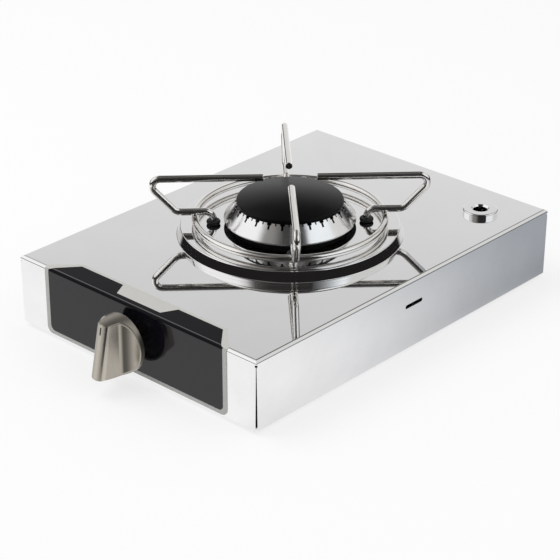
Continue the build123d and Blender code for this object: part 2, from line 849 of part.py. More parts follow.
# Screws that hold the tap to its bracket, put in from the rear
with BuildPart() as tap_screws:
    with BuildSketch(facing_rear(ear_back_y)):
        with GridLocations(tap_ear_pitch, 0, 2, 1):
            Circle(pan_head_radius)
    extrude(amount=pan_head_height)
    fillet(tap_screws.edges().group_by(Axis.Y)[-1], radius=pan_head_round)
    with BuildSketch(facing_rear(ear_back_y)):
        with GridLocations(tap_ear_pitch, 0, 2, 1):
            Circle(screw_radius)
    extrude(amount=-tap_screw_length)
tap_screws.part.label = "tap_screws"
export_step(tap_screws.part, "parts/tap_screws.step")

# Spindle with a flat for the knob, which turns and slides in the tap
knob_back_y = front_y - knob_gap
spindle_front_y = knob_back_y - knob_socket_depth
with BuildPart() as tap_spindle:
    with BuildSketch(facing_rear(spindle_front_y)):
        Circle(spindle_radius)
    extrude(amount=spindle_end_y - spindle_front_y)
    with BuildSketch(facing_rear(spindle_front_y)):
        with Locations((0, spindle_radius)):
            Rectangle(2 * spindle_radius, 2 * spindle_flat)
    extrude(amount=knob_socket_depth, mode=Mode.SUBTRACT)
tap_spindle.part.label = "tap_spindle"
export_step(tap_spindle.part, "parts/tap_spindle.step")

# Push rod between the spindle and the flame-failure valve
with BuildPart() as tap_push_rod:
    with BuildSketch(facing_rear(spindle_end_y)):
        Circle(push_rod_radius)
    extrude(amount=push_rod_length)
tap_push_rod.part.label = "tap_push_rod"
export_step(tap_push_rod.part, "parts/tap_push_rod.step")

# Flame-failure magnet unit on the rear of the tap
magnet_end_y = tap_end_y + magnet_length
with BuildPart() as magnet_unit:
    with BuildSketch(facing_rear(tap_end_y)):
        RegularPolygon(radius=magnet_flats / 2, side_count=6, major_radius=False)
    extrude(amount=magnet_length)
    with BuildSketch(facing_rear(magnet_end_y)):
        Circle(magnet_tail_radius)
    extrude(amount=magnet_tail_length)
magnet_unit.part.label = "magnet_unit"
export_step(magnet_unit.part, "parts/magnet_unit.step")

# Thermocouple nut on the tail of the magnet unit
couple_end_y = magnet_end_y + couple_nut_length
with BuildPart() as thermocouple_nut:
    with BuildSketch(facing_rear(magnet_end_y)):
        RegularPolygon(radius=couple_nut_flats / 2, side_count=6, major_radius=False)
    extrude(amount=couple_nut_length)
    with BuildSketch(facing_rear(magnet_end_y)):
        Circle(magnet_tail_radius + thread_clearance)
    extrude(amount=couple_nut_length - couple_nut_wall + seat_clearance, mode=Mode.SUBTRACT)
    with BuildSketch(facing_rear(magnet_end_y)):
        Circle(lead_radius + seat_clearance)
    extrude(amount=couple_nut_length, mode=Mode.SUBTRACT)
thermocouple_nut.part.label = "thermocouple_nut"
export_step(thermocouple_nut.part, "parts/thermocouple_nut.step")

# Thermocouple lead from the magnet unit round the cup to the probe
probe_x = probe_reach * cos(radians(probe_angle))
probe_y = probe_reach * sin(radians(probe_angle))
probe_low_z = plateau_top - probe_drop
lead_bend = probe_low_z - control_z - lead_tail
lead_start_y = couple_end_y - couple_nut_wall + 2 * seat_clearance
with BuildPart() as thermocouple_lead:
    with BuildLine() as lead_path:
        FilletPolyline(
            (0, lead_start_y, control_z),
            (0, couple_end_y + lead_run, control_z),
            (-lead_lane, couple_end_y + 2 * lead_run, control_z),
            (-lead_lane, probe_y, control_z),
            (probe_x, probe_y, control_z),
            (probe_x, probe_y, probe_low_z),
            radius=lead_bend,
        )
    with BuildSketch(Plane(origin=lead_path.line @ 0, z_dir=lead_path.line % 0)):
        Circle(lead_radius)
    sweep()
thermocouple_lead.part.label = "thermocouple_lead"
export_step(thermocouple_lead.part, "parts/thermocouple_lead.step")

# Thermocouple probe standing beside the crown
with BuildPart() as thermocouple_probe:
    with BuildSketch(Plane.XY.offset(probe_low_z)):
        with Locations((probe_x, probe_y)):
            Circle(probe_radius)
    extrude(amount=probe_drop + probe_rise)
    fillet(thermocouple_probe.edges().group_by(Axis.Z)[-1], radius=probe_tip_round)
    with BuildSketch(Plane.XY.offset(plateau_top)):
        with Locations((probe_x, probe_y)):
            Circle(probe_flange_radius)
    extrude(amount=probe_flange_height)
thermocouple_probe.part.label = "thermocouple_probe"
export_step(thermocouple_probe.part, "parts/thermocouple_probe.step")

# Nut that holds the probe from below the plateau
with BuildPart() as probe_nut:
    with BuildSketch(Plane.XY.offset(plateau_under)):
        with Locations((probe_x, probe_y)):
            RegularPolygon(radius=probe_nut_flats / 2, side_count=6, major_radius=False)
            Circle(probe_radius + thread_clearance, mode=Mode.SUBTRACT)
    extrude(amount=-probe_nut_height)
probe_nut.part.label = "probe_nut"
export_step(probe_nut.part, "parts/probe_nut.step")

# Pipe from the tap to the burner cup, in one level U
with BuildPart() as supply_pipe:
    with BuildLine() as supply_path:
        FilletPolyline(
            (tap_port_reach - port_seat, tap_port_y, control_z),
            (supply_lane, tap_port_y, control_z),
            (supply_lane, 0, control_z),
            (port_length - port_seat, 0, control_z),
            radius=pipe_bend,
        )
    with BuildSketch(Plane(origin=supply_path.line @ 0, z_dir=supply_path.line % 0)):
        Circle(pipe_radius)
        Circle(pipe_radius - pipe_wall, mode=Mode.SUBTRACT)
    sweep()
supply_pipe.part.label = "supply_pipe"
export_step(supply_pipe.part, "parts/supply_pipe.step")

# Pipe from the rear inlet to the tap, along the left side
inlet_seat_y = rear_y - sheet - inlet_hex_length - inlet_inner_length
with BuildPart() as inlet_pipe:
    with BuildLine() as inlet_path:
        FilletPolyline(
            (port_seat - tap_port_reach, tap_port_y, control_z),
            (-inlet_lane, tap_port_y, control_z),
            (-inlet_lane, inlet_seat_y + port_seat, control_z),
            radius=pipe_bend,
        )
    with BuildSketch(Plane(origin=inlet_path.line @ 0, z_dir=inlet_path.line % 0)):
        Circle(pipe_radius)
        Circle(pipe_radius - pipe_wall, mode=Mode.SUBTRACT)
    sweep()
inlet_pipe.part.label = "inlet_pipe"
export_step(inlet_pipe.part, "parts/inlet_pipe.step")

# Compression nuts at the four pipe ends
pipe_nut_planes = (
    Plane(origin=(tap_port_reach, tap_port_y, control_z), z_dir=(1, 0, 0)),
    Plane(origin=(-tap_port_reach, tap_port_y, control_z), z_dir=(-1, 0, 0)),
    Plane(origin=(port_length, 0, control_z), z_dir=(1, 0, 0)),
    Plane(origin=(-inlet_lane, inlet_seat_y, control_z), z_dir=(0, -1, 0)),
)
with BuildPart() as pipe_nuts:
    for nut_plane in pipe_nut_planes:
        with BuildSketch(nut_plane):
            RegularPolygon(radius=pipe_nut_flats / 2, side_count=6, major_radius=False)
            Circle(pipe_radius + pipe_fit_clearance, mode=Mode.SUBTRACT)
        extrude(amount=pipe_nut_length)
pipe_nuts.part.label = "pipe_nuts"
export_step(pipe_nuts.part, "parts/pipe_nuts.step")

# Bulkhead fitting in the rear wall, with the outer thread for a gas hose
inlet_plane = Plane(origin=(-inlet_lane, rear_y - sheet, control_z), z_dir=(0, 1, 0))
inlet_shank_length = sheet + inlet_lock_length + inlet_shank_margin
with BuildPart() as gas_inlet_fitting:
    with BuildSketch(inlet_plane):
        RegularPolygon(radius=inlet_hex_flats / 2, side_count=6, major_radius=False)
    extrude(amount=-inlet_hex_length)
    with BuildSketch(inlet_plane):
        Circle(inlet_shank_radius)
    extrude(amount=inlet_shank_length)
    with BuildSketch(inlet_plane.offset(inlet_shank_length)):
        Circle(inlet_thread_radius)
    extrude(amount=inlet_thread_length)
    chamfer(gas_inlet_fitting.edges().group_by(Axis.Y)[-1], length=inlet_thread_chamfer)
    with BuildSketch(inlet_plane):
        Circle(inlet_shank_radius)
    extrude(amount=-inlet_hex_length - inlet_inner_length)
    with Locations(Plane(origin=(-inlet_lane, inlet_seat_y, control_z), z_dir=(0, -1, 0))):
        CounterBoreHole(
            radius=inlet_bore_radius,
            counter_bore_radius=pipe_radius + pipe_fit_clearance,
            counter_bore_depth=port_seat,
        )
gas_inlet_fitting.part.label = "gas_inlet_fitting"
export_step(gas_inlet_fitting.part, "parts/gas_inlet_fitting.step")

# Lock nut on the outside of the rear wall
with BuildPart() as inlet_lock_nut:
    with BuildSketch(inlet_plane.offset(sheet)):
        RegularPolygon(radius=inlet_lock_flats / 2, side_count=6, major_radius=False)
        Circle(inlet_shank_radius + thread_clearance, mode=Mode.SUBTRACT)
    extrude(amount=inlet_lock_length)
inlet_lock_nut.part.label = "inlet_lock_nut"
export_step(inlet_lock_nut.part, "parts/inlet_lock_nut.step")

# Knob: a drafted disc whose front is cut to a tapering fin between two hollow flanks
knob_plane = Plane(origin=(0, knob_back_y, control_z), x_dir=(1, 0, 0), z_dir=(0, -1, 0))
knob_axis = Axis((0, knob_back_y, control_z), (0, 1, 0))
knob_length = max(knob_nose_top, knob_nose_bottom)
knob_rim_z = control_z + knob_radius
skirt_y = knob_back_y - knob_skirt
valley_y = knob_back_y - knob_valley_depth
hollow_x = (knob_radius + knob_valley_half) / 2
hollow_y = (skirt_y + valley_y) / 2 + knob_valley_sag
ridge_slope = (knob_nose_bottom - knob_nose_top) / (2 * knob_radius)
ridge_y = knob_back_y - (knob_nose_top + knob_nose_bottom) / 2 + ridge_slope * pointer_rise
pointer_plane = Plane(
    origin=(0, ridge_y, control_z + pointer_rise),
    x_dir=(1, 0, 0),
    z_dir=(0, -1, ridge_slope),
)
with BuildPart() as knob:
    with BuildSketch(Plane.YZ):
        with BuildLine():
            Polyline((knob_back_y - knob_length, control_z), (knob_back_y, control_z))
            Polyline((knob_back_y, control_z), (knob_back_y, knob_rim_z), (skirt_y, knob_rim_z))
            barrel = TangentArc(
                (skirt_y, knob_rim_z),
                (knob_back_y - knob_length, knob_rim_z - knob_draft),
                tangent=(-1, 0),
            )
            Line(barrel @ 1, (knob_back_y - knob_length, control_z))
        make_face()
    revolve(axis=knob_axis)
    for fin_end, nose_depth in ((knob_radius, knob_nose_top), (-knob_radius, knob_nose_bottom)):
        crease_y = knob_back_y - nose_depth + knob_nose_crown
        with BuildSketch(Plane.XY.offset(control_z + fin_end)) as fin_section:
            with BuildLine():
                ThreePointArc(
                    (-knob_nose_half, crease_y),
                    (0, crease_y - knob_nose_crown),
                    (knob_nose_half, crease_y),
                )
                Line((knob_nose_half, crease_y), (knob_valley_half, valley_y))
                ThreePointArc((knob_valley_half, valley_y), (hollow_x, hollow_y), (knob_radius, skirt_y))
                Polyline(
                    (knob_radius, skirt_y),
                    (knob_radius, knob_back_y),
                    (-knob_radius, knob_back_y),
                    (-knob_radius, skirt_y),
                )
                ThreePointArc(
                    (-knob_radius, skirt_y),
                    (-hollow_x, hollow_y),
                    (-knob_valley_half, valley_y),
                )
                Line((-knob_valley_half, valley_y), (-knob_nose_half, crease_y))
            make_face()
            folds = fin_section.vertices().filter_by_position(
                Axis.Y, valley_y - running_clearance, valley_y + running_clearance
            )
            fillet(folds, radius=knob_valley_round)
    loft(ruled=True, mode=Mode.INTERSECT)
    fillet(knob.edges(), radius=knob_edge_round)
    with BuildSketch(knob_plane):
        Circle(knob_radius - knob_rim_wall)
        Circle(knob_boss_radius, mode=Mode.SUBTRACT)
    extrude(amount=knob_back_recess, mode=Mode.SUBTRACT)
    with BuildSketch(knob_plane):
        Circle(spindle_radius + running_clearance)
        with Locations((0, -spindle_radius)):
            Rectangle(2 * spindle_radius, 2 * (spindle_flat - running_clearance), mode=Mode.SUBTRACT)
    extrude(amount=knob_socket_depth + seat_clearance, mode=Mode.SUBTRACT)
    with BuildSketch(pointer_plane):
        RectangleRounded(pointer_width, pointer_length, pointer_corner)
    extrude(amount=pointer_depth, both=True, mode=Mode.SUBTRACT)
knob.part.label = "knob"
export_step(knob.part, "parts/knob.step")

# Black pointer inlay, a little below the ridge of the fin
with BuildPart() as knob_pointer:
    with BuildSketch(pointer_plane.offset(-pointer_depth)):
        RectangleRounded(pointer_width, pointer_length, pointer_corner)
    extrude(amount=pointer_depth - pointer_sink)
knob_pointer.part.label = "knob_pointer"
export_step(knob_pointer.part, "parts/knob_pointer.step")

# Split spring clip round the boss of the knob
with BuildPart() as knob_clip:
    with BuildSketch(knob_plane):
        Circle(knob_boss_radius + clip_sheet)
        Circle(knob_boss_radius, mode=Mode.SUBTRACT)
        with Locations((0, -knob_boss_radius)):
            Rectangle(clip_gap, knob_boss_radius, mode=Mode.SUBTRACT)
    extrude(amount=clip_length)
knob_clip.part.label = "knob_clip"
export_step(knob_clip.part, "parts/knob_clip.step")
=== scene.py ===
import json
import math

import bmesh
import bpy
from mathutils import Matrix, Vector


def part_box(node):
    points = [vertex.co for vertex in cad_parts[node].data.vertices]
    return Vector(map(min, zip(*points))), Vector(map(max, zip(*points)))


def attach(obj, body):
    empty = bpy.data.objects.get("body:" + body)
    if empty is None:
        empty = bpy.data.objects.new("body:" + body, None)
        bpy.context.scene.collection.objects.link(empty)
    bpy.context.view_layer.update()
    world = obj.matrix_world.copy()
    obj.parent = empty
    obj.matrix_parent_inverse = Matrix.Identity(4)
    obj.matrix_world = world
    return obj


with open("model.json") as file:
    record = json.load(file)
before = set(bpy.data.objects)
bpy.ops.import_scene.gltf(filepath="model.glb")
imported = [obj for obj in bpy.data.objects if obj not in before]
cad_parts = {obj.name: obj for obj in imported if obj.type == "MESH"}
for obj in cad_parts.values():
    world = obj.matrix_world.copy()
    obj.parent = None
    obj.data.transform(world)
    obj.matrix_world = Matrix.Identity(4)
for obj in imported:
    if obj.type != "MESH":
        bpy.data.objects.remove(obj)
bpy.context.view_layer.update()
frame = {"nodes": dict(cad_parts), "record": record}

MM = 0.001
HALF_TURN = 180
FULL_TURN = 360

# Where the photograph was taken from. The picture is a square of PICTURE pixels.
PICTURE = 560
FOCAL_PIXELS = 2057.0
SENSOR = 36.0
CAMERA_AZIMUTH = math.radians(42.647)
CAMERA_ELEVATION = math.radians(26.894)
CAMERA_PLACE = Vector((0.8608, -0.9448, 0.6635))
CAMERA_NEAREST = 0.01

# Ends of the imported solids
hob_low, hob_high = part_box("hob_top")
cup_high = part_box("burner_cup")[1]
cap_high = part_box("burner_cap")[1]
knob_low, knob_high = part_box("knob")
front_y = hob_low.y
crown_base = cup_high.z
knob_middle = (knob_low.z + knob_high.z) / 2

# Level of the flat plate round the raised ring
top_z = 52.5 * MM

# Sockets of the Mix node when it mixes colours
MIX_FACTOR = 0
MIX_FIRST = 6
MIX_SECOND = 7
MIX_RESULT = 2

STREAK_DETAIL = 3.0


class Reading:
    """A number on its way through shader nodes. Sums written with it add Math nodes."""

    def __init__(self, tree, socket):
        self.tree = tree
        self.socket = socket

    def __add__(self, other):
        return self.tree.maths("ADD", self, other)

    __radd__ = __add__

    def __sub__(self, other):
        return self.tree.maths("SUBTRACT", self, other)

    def __rsub__(self, other):
        return self.tree.maths("SUBTRACT", other, self)

    def __mul__(self, other):
        return self.tree.maths("MULTIPLY", self, other)

    def __truediv__(self, other):
        return self.tree.maths("DIVIDE", self, other)

    def __abs__(self):
        return self.tree.maths("ABSOLUTE", self)

    def most(self, other):
        return self.tree.maths("MAXIMUM", self, other)

    def between(self, low, high):
        """From low, where this number is 0, to high, where it is 1."""
        return low + self * (high - low)

    def past(self, edge, soft):
        """0 below the edge and 1 above it, with a soft step that wide."""
        if isinstance(edge, Reading):
            return (self - edge).past(0.0, soft)
        step = {"Value": self, "From Min": edge - soft / 2, "From Max": edge + soft / 2}
        return self.tree.read("ShaderNodeMapRange", step, interpolation_type="SMOOTHSTEP")


class Tree:
    """The nodes of one finish, or of the world."""

    def __init__(self, owner):
        owner.use_nodes = True
        self.nodes = owner.node_tree.nodes
        self.links = owner.node_tree.links
        self.nodes.clear()

    def feed(self, entry, value):
        """Links a reading or a socket to an input, or sets the input to a plain value."""
        if isinstance(value, Reading):
            value = value.socket
        if isinstance(value, bpy.types.NodeSocket):
            self.links.new(value, entry)
        else:
            entry.default_value = value

    def add(self, kind, sockets=None, **settings):
        node = self.nodes.new(kind)
        for name, value in settings.items():
            setattr(node, name, value)
        for name, value in (sockets or {}).items():
            self.feed(node.inputs[name], value)
        return node

    def read(self, kind, sockets=None, **settings):
        """The first output of a new node, as a number."""
        return Reading(self, self.add(kind, sockets, **settings).outputs[0])

    def maths(self, operation, *values):
        return self.read("ShaderNodeMath", dict(enumerate(values)), operation=operation)

    def length(self, first, second):
        """The length of a vector with these two parts."""
        return self.maths("SQRT", first * first + second * second)

    def parts(self, vector):
        """The three numbers of a vector socket."""
        node = self.add("ShaderNodeSeparateXYZ", {0: vector})
        return [Reading(self, out) for out in node.outputs]

    def place(self):
        """The point's place on the object, in metres, as a socket."""
        return self.add("ShaderNodeTexCoord").outputs["Object"]

    def noise(self, scale, detail=4.0, roughness=0.55, vector=None):
        """Noise over the object, or over another vector."""
        values = {
            "Vector": self.place() if vector is None else vector,
            "Scale": scale,
            "Detail": detail,
            "Roughness": roughness,
        }
        return self.read("ShaderNodeTexNoise", values)

    def streaks(self, *scales):
        """Noise with a scale of its own along each axis."""
        values = {"Vector": self.place(), "Scale": scales}
        drawn = self.add("ShaderNodeMapping", values, vector_type="POINT")
        return self.noise(scale=1.0, detail=STREAK_DETAIL, vector=drawn.outputs[0])

    def mix(self, factor, first, second):
        """A colour between two colours, as a socket."""
        values = {MIX_FACTOR: factor, MIX_FIRST: first, MIX_SECOND: second}
        return self.add("ShaderNodeMix", values, data_type="RGBA").outputs[MIX_RESULT]

    def ramp(self, factor, stops):
        """The colour of a ramp at a factor from 0 to 1, as a socket."""
        node = self.add("ShaderNodeValToRGB", {"Fac": factor})
        elements = node.color_ramp.elements
        while len(elements) < len(stops):
            elements.new(1.0)
        for element, (at, colour) in zip(elements, stops):
            element.position = at
            element.color = colour
        return node.outputs[0]

    def bump(self, height, distance, strength):
        values = {"Height": height, "Distance": distance, "Strength": strength}
        return self.add("ShaderNodeBump", values).outputs[0]


def tint(red, green, blue):
    return (red, green, blue, 1.0)


def grey(level):
    return tint(level, level, level)


def finish(name, build):
    """A material whose surface the build function describes as Principled sockets."""
    material = bpy.data.materials.new(name)
    tree = Tree(material)
    shader = tree.add("ShaderNodeBsdfPrincipled", build(tree))
    tree.add("ShaderNodeOutputMaterial", {"Surface": shader.outputs[0]})
    return material


# The outer walls are brushed below the bend of the sheet
WALL_DEPTH = 2.2 * MM
WALL_BLEND = 1.0 * MM
TOP_CLOUDS = 0.6
TOP_SPECKS = 0.1


def mirror_sheet(tree):
    """Polished sheet: a mirror on the top and its raised ring, brushed and cloudy on the walls."""
    x, y, z = tree.parts(tree.place())
    on_side = abs(x).past(hob_high.x - WALL_DEPTH, WALL_BLEND)
    on_end = abs(y).past(-front_y - WALL_DEPTH, WALL_BLEND)
    wall = on_side.most(on_end) * (1.0 - z.past(top_z - WALL_DEPTH, WALL_BLEND))
    clouds = tree.noise(scale=26.0, detail=5.0, roughness=0.6)
    grain = tree.streaks(40.0, 40.0, 2600.0)
    specks = tree.noise(scale=900.0, detail=3.0)
    wall_rough = clouds.between(0.2, 0.36) + grain.between(0.0, 0.06)
    top_rough = specks.between(0.02, 0.04)
    cloudy = 0.5 + (clouds - 0.5) * (TOP_CLOUDS + wall)
    return {
        "Base Color": tree.mix(cloudy, grey(0.83), grey(0.95)),
        "Metallic": 1.0,
        "Roughness": top_rough + (wall_rough - top_rough) * wall,
        "Normal": tree.bump(specks * TOP_SPECKS + grain * wall, distance=0.02 * MM, strength=0.5),
    }


def rolled_sheet(tree):
    """Plain cold rolled sheet of the hidden fittings, with faint rolling lines."""
    lines = tree.streaks(1500.0, 45.0, 1500.0)
    clouds = tree.noise(scale=60.0)
    return {
        "Base Color": tree.mix(clouds, grey(0.52), grey(0.66)),
        "Metallic": 1.0,
        "Roughness": clouds.between(0.3, 0.5),
        "Normal": tree.bump(lines, distance=0.03 * MM, strength=0.6),
    }


def turned_screw(tree):
    """Bright screws with fine turning marks and a little oil darkening."""
    marks = tree.noise(scale=1400.0, detail=2.0)
    stain = tree.noise(scale=240.0)
    return {
        "Base Color": tree.mix(stain, grey(0.45), grey(0.72)),
        "Metallic": 1.0,
        "Roughness": stain.between(0.22, 0.42),
        "Normal": tree.bump(marks, distance=0.02 * MM, strength=0.5),
    }


# The print on the label. Its foot is a height above the worktop. The wings, the field between
# them and the fold are measured along the film, from the front edge of the plate.
LABEL_HALF = 80.5 * MM
LABEL_FOOT = 6.2 * MM
LABEL_CORNER = 4.0 * MM
WING_TOP = 16.6 * MM
WING_BASE_HALF = 79.5 * MM
WING_TOP_HALF = 65.2 * MM
FIELD_FOOT = 5.7 * MM
FIELD_FOOT_HALF = 20.0 * MM
FIELD_TOP_HALF = 25.6 * MM
PRINT_EDGE = 0.25 * MM
FILM_GLOSS = 0.24
FOLD_START = -2.0 * MM
FOLD_SHINE = 1.7 * MM
FOLD_SHINE_HALF = 0.55 * MM
FOLD_BLEND = 0.7 * MM


def printed_label(tree):
    """Pale film with a black print that folds over the front edge and leaves a bare field. The
    film's top is painted lighter than its front.
    """
    x, y, z = tree.parts(tree.place())
    across = abs(x)
    along = (z - top_z) + (y - front_y)
    corner_x = (across - (LABEL_HALF - LABEL_CORNER)).most(0.0)
    corner_z = (LABEL_FOOT - top_z + LABEL_CORNER - along).most(0.0)
    front = 1.0 - tree.length(corner_x, corner_z).past(LABEL_CORNER, PRINT_EDGE)
    wing_slant = (WING_BASE_HALF - WING_TOP_HALF) / WING_TOP
    wing_edge = WING_BASE_HALF - along.most(0.0) * wing_slant
    wing = (1.0 - across.past(wing_edge, PRINT_EDGE)) * (1.0 - along.past(WING_TOP, PRINT_EDGE))
    field_slant = (FIELD_TOP_HALF - FIELD_FOOT_HALF) / (WING_TOP - FIELD_FOOT)
    field_edge = FIELD_FOOT_HALF + (along - FIELD_FOOT) * field_slant
    field = along.past(FIELD_FOOT, PRINT_EDGE) * (1.0 - across.past(field_edge, PRINT_EDGE))
    on_top = along.past(0.0, PRINT_EDGE)
    ink = front * (1.0 - on_top) + on_top * wing * (1.0 - field)
    before_fold = 1.0 - along.past(FOLD_START, FOLD_BLEND)
    on_fold = 1.0 - abs(along - FOLD_SHINE).past(FOLD_SHINE_HALF, FOLD_BLEND)
    mottle = tree.noise(scale=420.0, detail=3.0)
    # One film, painted lighter on top than on the front: painted light
    lower_film = tree.mix(mottle, tint(0.42, 0.42, 0.405), tint(0.48, 0.48, 0.46))
    top_film_painted_light = tree.mix(mottle, tint(0.53, 0.525, 0.5), tint(0.6, 0.595, 0.57))
    film = tree.mix(on_top, lower_film, top_film_painted_light)
    black = tree.mix(mottle, tint(0.003, 0.0027, 0.0045), tint(0.006, 0.0056, 0.0082))
    skin = tree.noise(scale=1500.0, detail=2.0)
    return {
        "Base Color": tree.mix(ink, film, black),
        "Roughness": mottle.between(0.14, 0.19),
        "Specular IOR Level": 0.06,
        "Coat Weight": before_fold * FILM_GLOSS + on_fold,
        "Coat Roughness": 0.04,
        "Coat IOR": 2.2,
        "Normal": tree.bump(skin, distance=0.01 * MM, strength=0.4),
    }


def moulded_rubber(tree):
    """Matt black rubber with a fine moulded skin and a faint bloom."""
    skin = tree.noise(scale=2200.0, detail=3.0)
    bloom = tree.noise(scale=180.0)
    return {
        "Base Color": tree.mix(bloom, grey(0.006), grey(0.016)),
        "Roughness": bloom.between(0.42, 0.62),
        "Normal": tree.bump(skin, distance=0.04 * MM, strength=0.6),
    }


def bright_wire(tree):
    """Polished round wire with slight draw marks and a warm tint in patches."""
    marks = tree.noise(scale=1100.0, detail=2.0)
    clouds = tree.noise(scale=90.0)
    return {
        "Base Color": tree.mix(clouds, tint(0.84, 0.815, 0.785), tint(0.9, 0.885, 0.865)),
        "Metallic": 1.0,
        "Roughness": clouds.between(0.13, 0.19),
        "Normal": tree.bump(marks, distance=0.003 * MM, strength=0.4),
    }


def cup_in_painted_shade(tree):
    """Burner cup, cast, and near-black as painted shade in the gap under the crown."""
    pores = tree.noise(scale=1300.0)
    clouds = tree.noise(scale=120.0)
    return {
        # Near-black base colour: painted shade
        "Base Color": tree.mix(clouds, grey(0.006), grey(0.02)),
        "Roughness": clouds.between(0.5, 0.7),
        "Specular IOR Level": 0.15,
        "Normal": tree.bump(pores, distance=0.08 * MM, strength=0.7),
    }


CROWN_RINGS = 4200.0
CROWN_RING_RISE = 0.6
CROWN_UNDER_SHADE = 0.25 * MM
UNDER_SHADE_DULLING = 0.9
UNDER_SHADE_ROUGHNESS = 0.5


def turned_crown(tree):
    """Burner crown, turned and polished, with fine rings round its axis and painted shade
    underneath.
    """
    x, y, z = tree.parts(tree.place())
    turned = {
        "W": tree.length(x, y) + z * CROWN_RING_RISE,
        "Scale": CROWN_RINGS,
        "Detail": 1.0,
    }
    rings = tree.read("ShaderNodeTexNoise", turned, noise_dimensions="1D")
    clouds = tree.noise(scale=150.0)
    # Painted shade under the crown: dark, dull and rough below its base
    painted_under_shade = 1.0 - z.past(crown_base + CROWN_UNDER_SHADE, CROWN_UNDER_SHADE)
    bright = tree.mix(clouds, grey(0.82), grey(0.92))
    return {
        "Base Color": tree.mix(painted_under_shade, bright, grey(0.012)),
        "Metallic": 1.0 - painted_under_shade * UNDER_SHADE_DULLING,
        "Roughness": clouds.between(0.14, 0.19) + painted_under_shade * UNDER_SHADE_ROUGHNESS,
        "Normal": tree.bump(rings, distance=0.006 * MM, strength=1.0),
    }


CAP_CROWNING = 3.4 * MM
CAP_SKIN = 0.015 * MM
FLECK_EDGE = 0.68
FLECK_BLEND = 0.1


def satin_enamel(tree):
    """Burner cap in black satin enamel, thicker in the middle, with a fine orange skin."""
    x, y, _ = tree.parts(tree.place())
    skin = tree.noise(scale=700.0, detail=2.0)
    flecks = tree.noise(scale=2600.0, detail=2.0).past(FLECK_EDGE, FLECK_BLEND)
    crowning = (x * x + y * y) * (-CAP_CROWNING / (cap_high.x * cap_high.x))
    return {
        "Base Color": tree.mix(flecks, grey(0.0025), grey(0.009)),
        "Roughness": skin.between(0.32, 0.38),
        "Specular IOR Level": 0.13,
        "Normal": tree.bump(crowning + skin * CAP_SKIN, distance=1.0, strength=1.0),
    }


def turned_brass(tree):
    """Machined brass, with tool marks and a little tarnish."""
    marks = tree.noise(scale=1500.0, detail=2.0)
    tarnish = tree.noise(scale=140.0, detail=5.0)
    return {
        "Base Color": tree.mix(tarnish, tint(0.46, 0.27, 0.09), tint(0.78, 0.55, 0.24)),
        "Metallic": 1.0,
        "Roughness": tarnish.between(0.2, 0.4),
        "Normal": tree.bump(marks, distance=0.02 * MM, strength=0.5),
    }


def probe_tip(tree):
    """Heat stained steel of the flame probe."""
    stain = tree.noise(scale=300.0)
    return {
        "Base Color": tree.mix(stain, tint(0.32, 0.28, 0.25), tint(0.6, 0.57, 0.53)),
        "Metallic": 1.0,
        "Roughness": stain.between(0.3, 0.5),
    }


def copper_lead(tree):
    """Bare copper of the probe's lead, dulled in places."""
    dull = tree.noise(scale=170.0, detail=5.0)
    return {
        "Base Color": tree.mix(dull, tint(0.35, 0.14, 0.07), tint(0.72, 0.34, 0.2)),
        "Metallic": 1.0,
        "Roughness": dull.between(0.25, 0.45),
    }


def drawn_pipe(tree):
    """Soft drawn aluminium pipe, matt and finely marked."""
    marks = tree.noise(scale=800.0, detail=3.0)
    clouds = tree.noise(scale=80.0)
    return {
        "Base Color": tree.mix(clouds, grey(0.6), grey(0.76)),
        "Metallic": 1.0,
        "Roughness": clouds.between(0.34, 0.49),
        "Normal": tree.bump(marks, distance=0.03 * MM, strength=0.5),
    }


# Bands of the knob's face, at distances from the middle of its fin, and the radius of its side
KNOB_SHOULDER = 2.0 * MM
KNOB_SHOULDER_BLEND = 3.2 * MM
KNOB_CREASE = 4.7 * MM
KNOB_CREASE_HALF = 0.3 * MM
KNOB_FOLD = 7.2 * MM
KNOB_FOLD_BLEND = 1.4 * MM
KNOB_HOLLOW = 12.3 * MM
KNOB_HOLLOW_BLEND = 7.5 * MM
KNOB_SIDE = 18.9 * MM
KNOB_SIDE_BLEND = 0.6 * MM

# Painted highlights and shade of the bands, as shares between the dark and the bright nickel
NOSE_PAINTED_HIGHLIGHT = 0.3
SHOULDER_PAINTED_SHADE = -0.5
CREASE_PAINTED_HIGHLIGHT = 0.35
HOLLOW_SHADE = 0.86
SIDE_ROUGHNESS = 0.16


